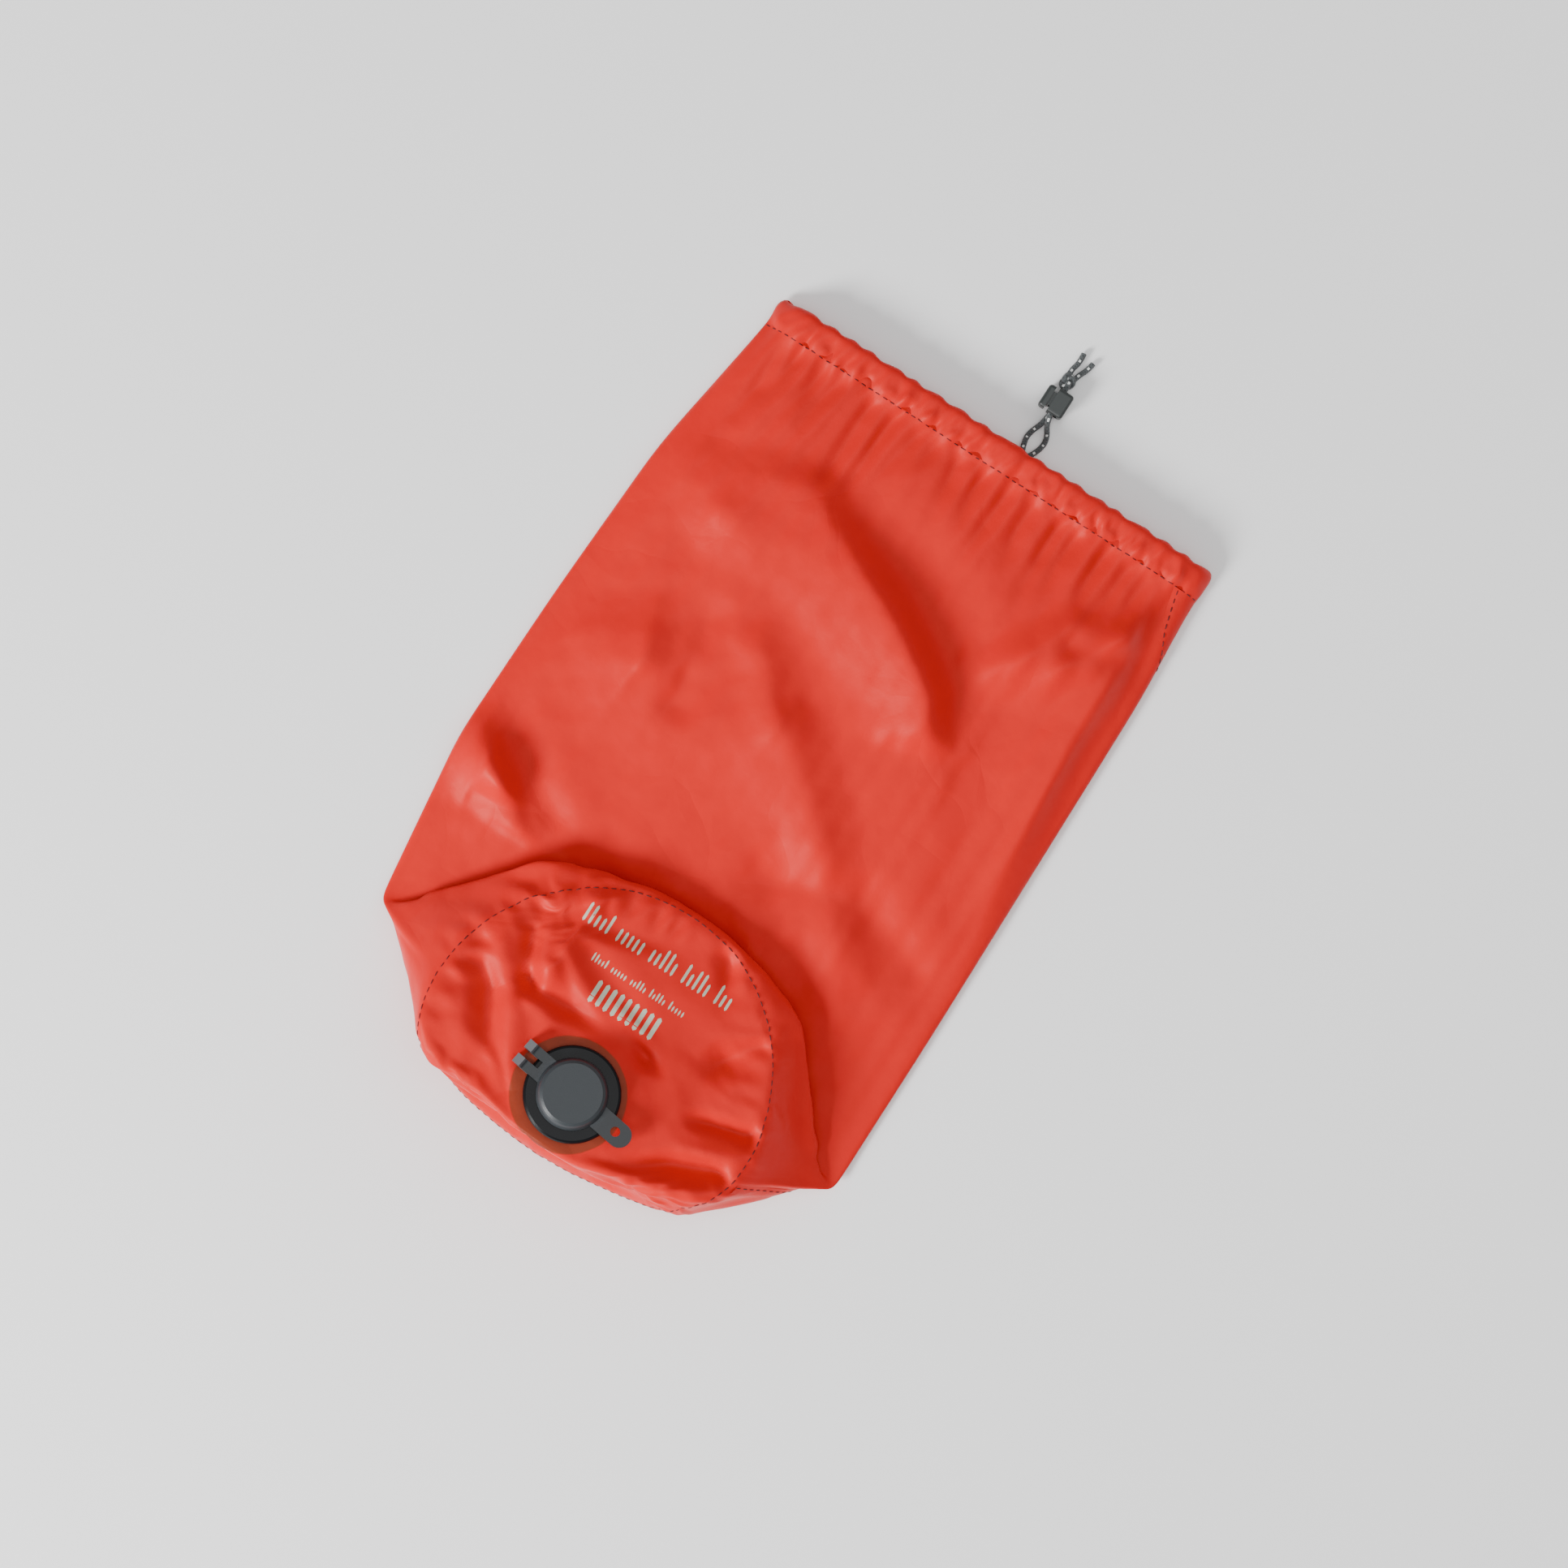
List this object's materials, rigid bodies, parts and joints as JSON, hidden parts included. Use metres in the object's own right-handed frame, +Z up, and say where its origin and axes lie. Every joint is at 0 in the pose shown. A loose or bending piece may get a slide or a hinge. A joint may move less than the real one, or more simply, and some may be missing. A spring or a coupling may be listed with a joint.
{
  "type": "stuff sack",
  "caption": "Flattened cylindrical drawstring sack with its round base folded up over the front, a capped inflation valve in the base, and a drawcord with a sprung cord lock.",
  "frame": {"origin": "centre of the bag's bounding box, cord left out, on the surface it lies on", "axes": "+Y along the bag towards the mouth, +Z up off the surface, +X to the right seen from above"},
  "size_m": [0.1972, 0.3382, 0.0407],
  "materials": {
    "cloth": "coated taffeta, faint sheen",
    "weld_film": "translucent welded film",
    "flange_black": "semi-gloss moulding",
    "cap_grey": "satin soft moulding",
    "cord": "braided, with reflective flecks",
    "lock_plastic": "fine matt moulding",
    "spring_steel": "drawn wire"
  },
  "bodies": {
    "bag": {"body_panel": "cloth", "side_seam": "cloth", "hem_tunnel": "cloth", "base_seam": "cloth", "base_panel": "cloth", "weld_patch": "weld_film", "backing_ring": "flange_black", "valve_body": "flange_black", "cap_retainer": "cap_grey", "cord_in_hem": "cord", "cord_left": "cord", "cord_right": "cord", "cord_knot": "cord", "cord_tail_left": "cord", "cord_tail_right": "cord"},
    "cap": {"valve_cap": "cap_grey"},
    "lock": {"lock_shell": "lock_plastic", "lock_spring": "spring_steel"},
    "lock_button": {"lock_plunger": "lock_plastic"}
  },
  "joints": [
    {"name": "cap_hinge", "type": "hinge", "parent": "bag", "child": "cap", "pos_m": [-0.0148, -0.11841, 0.03385], "axis": [-0.1478, -0.9745, 0.169], "range_deg": [0, 130]},
    {"name": "lock_slide", "type": "slide", "parent": "bag", "child": "lock", "axis": [0, -1, 0], "range_m": [0, 0.014], "deforming": ["cord_left", "cord_right"]},
    {"name": "button_press", "type": "slide", "parent": "lock", "child": "lock_button", "axis": [1, 0, 0], "range_m": [0, 0.0012], "stiffness_N_per_m": 400, "springref_m": -0.003, "deforming": ["lock_spring"]}
  ]
}
